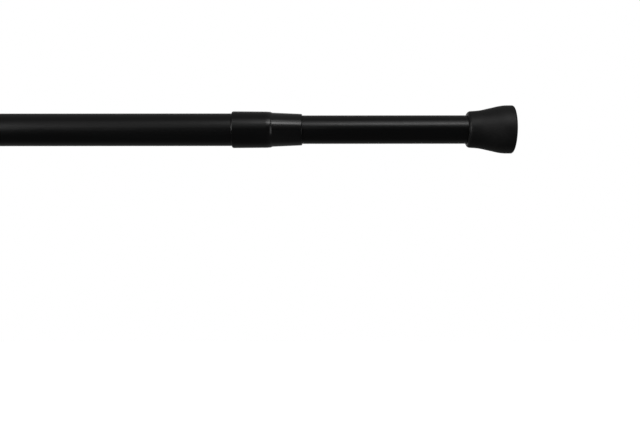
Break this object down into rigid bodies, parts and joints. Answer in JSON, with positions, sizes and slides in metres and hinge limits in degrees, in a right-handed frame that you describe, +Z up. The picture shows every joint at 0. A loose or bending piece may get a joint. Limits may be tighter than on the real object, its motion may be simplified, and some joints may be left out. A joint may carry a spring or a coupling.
{
  "type": "spring tension rod",
  "caption": "Telescopic black spring tension rod with a stepped collar, an inner twist lock and flared rubber end caps that press against facing walls.",
  "frame": {"origin": "centre of the outer cap's wall face, on the rod's axis", "axes": "+X along the rod from the outer cap to the inner cap, +Z up as the rod hangs, +Y away from the camera"},
  "size_m": [0.6243, 0.0408, 0.0408],
  "materials": {
    "black_paint": "satin powder coat",
    "black_plastic": "satin moulded",
    "black_rubber": "matte moulded",
    "white_nylon": "natural moulded",
    "zinc_steel": "zinc plated",
    "spring_steel": "drawn wire"
  },
  "bodies": {
    "outer_rod": {"outer_tube": "black_paint", "reducing_collar": "black_plastic", "outer_tube_plug": "white_nylon", "outer_end_cap": "black_rubber"},
    "expander": {"split_expander": "white_nylon", "thrust_washer": "zinc_steel"},
    "wedge": {"cone_nut": "white_nylon"},
    "spindle": {"lock_spindle": "zinc_steel", "stop_washer": "zinc_steel", "stop_screw": "zinc_steel", "compression_spring": "spring_steel"},
    "inner_rod": {"inner_tube": "black_paint", "guide_plug": "white_nylon", "spring_washer": "zinc_steel", "inner_tube_plug": "white_nylon", "inner_end_cap": "black_rubber"}
  },
  "joints": [
    {"name": "length_slide", "type": "slide", "parent": "outer_rod", "child": "expander", "axis": [1, 0, 0], "range_m": [-0.0975, 0.1745]},
    {"name": "twist_lock", "type": "hinge", "parent": "expander", "child": "spindle", "pos_m": [0.2, 0, 0], "axis": [1, 0, 0], "range_deg": [0, 540]},
    {"name": "cone_travel", "type": "slide", "parent": "expander", "child": "wedge", "axis": [1, 0, 0], "range_m": [-0.00305, 0]},
    {"name": "spring_stroke", "type": "slide", "parent": "spindle", "child": "inner_rod", "axis": [1, 0, 0], "range_m": [-0.03, 0], "stiffness_N_per_m": 1180, "springref_m": 0.015, "deforming": ["compression_spring"]}
  ],
  "couplings": [
    {"joint": "cone_travel", "follows": "twist_lock", "m_per_rad": -0.00031831}
  ]
}
